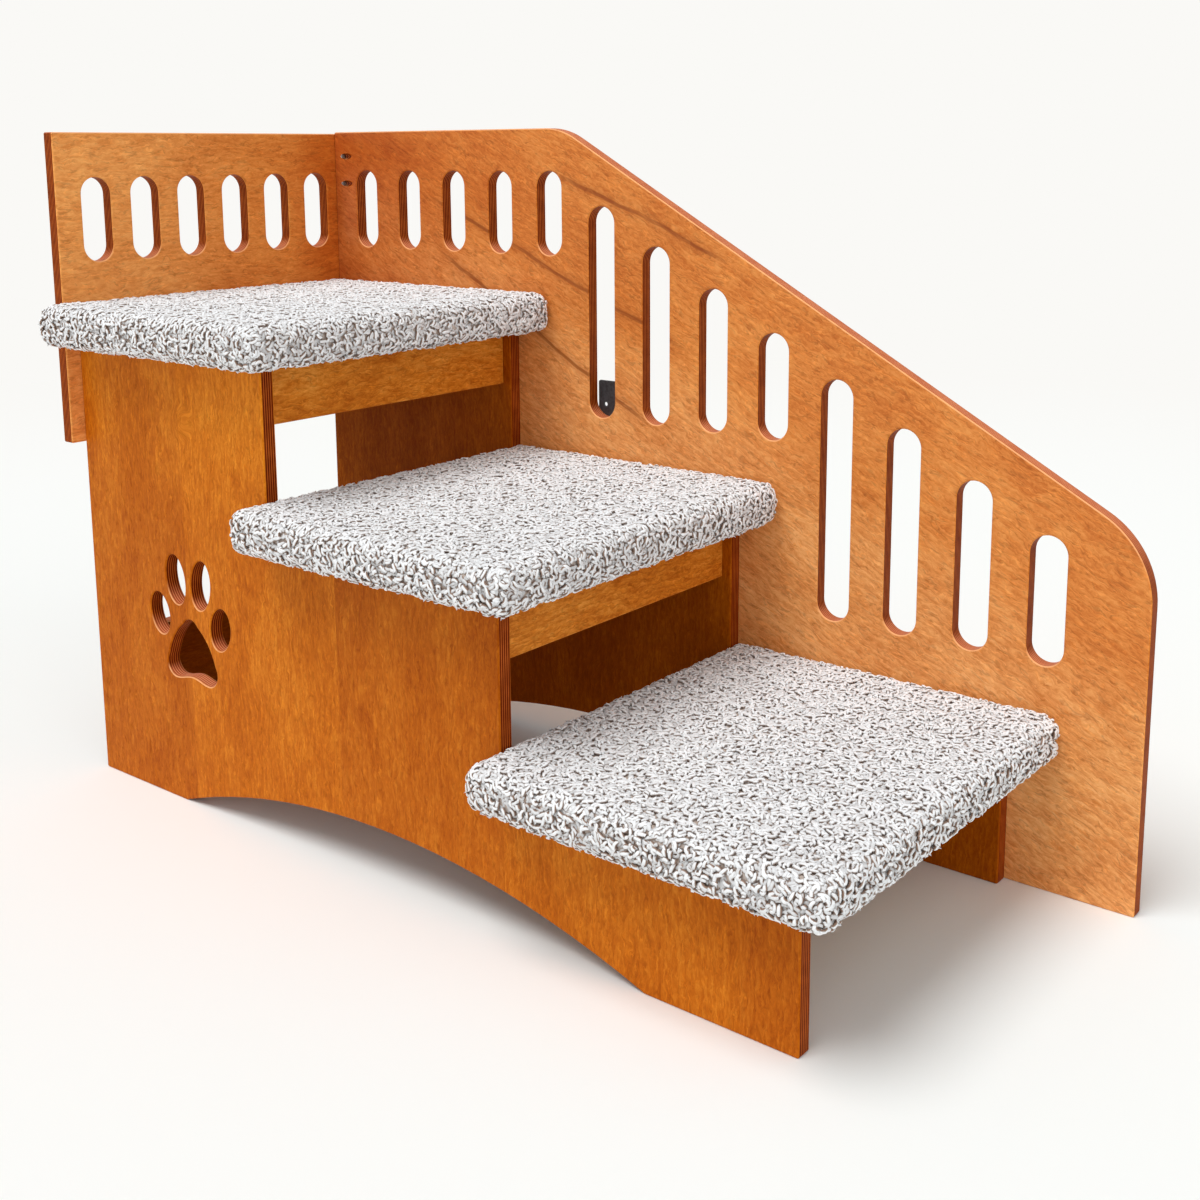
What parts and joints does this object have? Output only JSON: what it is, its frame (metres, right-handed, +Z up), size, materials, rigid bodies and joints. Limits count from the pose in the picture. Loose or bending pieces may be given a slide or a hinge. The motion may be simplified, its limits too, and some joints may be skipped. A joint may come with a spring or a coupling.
{
  "type": "pet stairs",
  "caption": "Wooden pet stairs with carpeted overhanging treads, arched stepped side panels, a paw cutout and a slotted L-shaped railing.",
  "frame": {"origin": "on the floor, under the centre of the whole object's bounding box", "axes": "+Z up; a pet climbs towards +Y, so the low end faces -Y and the back rail is at +Y; the side railing is on the +X side"},
  "size_m": [0.494, 1.176, 0.793],
  "materials": {
    "upright_ply": "amber stain under satin varnish, upright grain, dark ply stripes on the edges",
    "rail_ply": "amber stain under satin varnish, grain along the rail, dark mineral streaks",
    "apron_ply": "honey stain under satin varnish, grain along the board",
    "raw_ply": "bare plywood, sanded",
    "raw_wood": "light stain, planed batten",
    "carpet": "off-white and grey loop pile of short twisted yarns",
    "dark_steel": "dark grey coated sheet steel, satin",
    "zinc": "zinc-plated steel"
  },
  "bodies": {
    "root": {"near_side_panel": "upright_ply", "far_side_panel": "upright_ply", "side_rail": "rail_ply", "back_rail": "rail_ply", "top_apron": "apron_ply", "middle_apron": "apron_ply", "rear_stretcher": "apron_ply", "top_tread_board": "raw_ply", "middle_tread_board": "raw_ply", "bottom_tread_board": "raw_ply", "top_tread_carpet": "carpet", "middle_tread_carpet": "carpet", "bottom_tread_carpet": "carpet", "top_near_cleat": "raw_wood", "middle_near_cleat": "raw_wood", "bottom_near_cleat": "raw_wood", "top_far_cleat": "raw_wood", "middle_far_cleat": "raw_wood", "bottom_far_cleat": "raw_wood", "rail_corner_screws": "zinc", "apron_screws": "zinc", "stretcher_screws": "zinc", "back_rail_screws": "zinc", "side_rail_screws": "zinc", "cleat_screws": "zinc", "tread_screws": "zinc", "carpet_staples": "zinc", "fixing_plate": "dark_steel", "fixing_plate_screws": "zinc"}
  },
  "joints": []
}
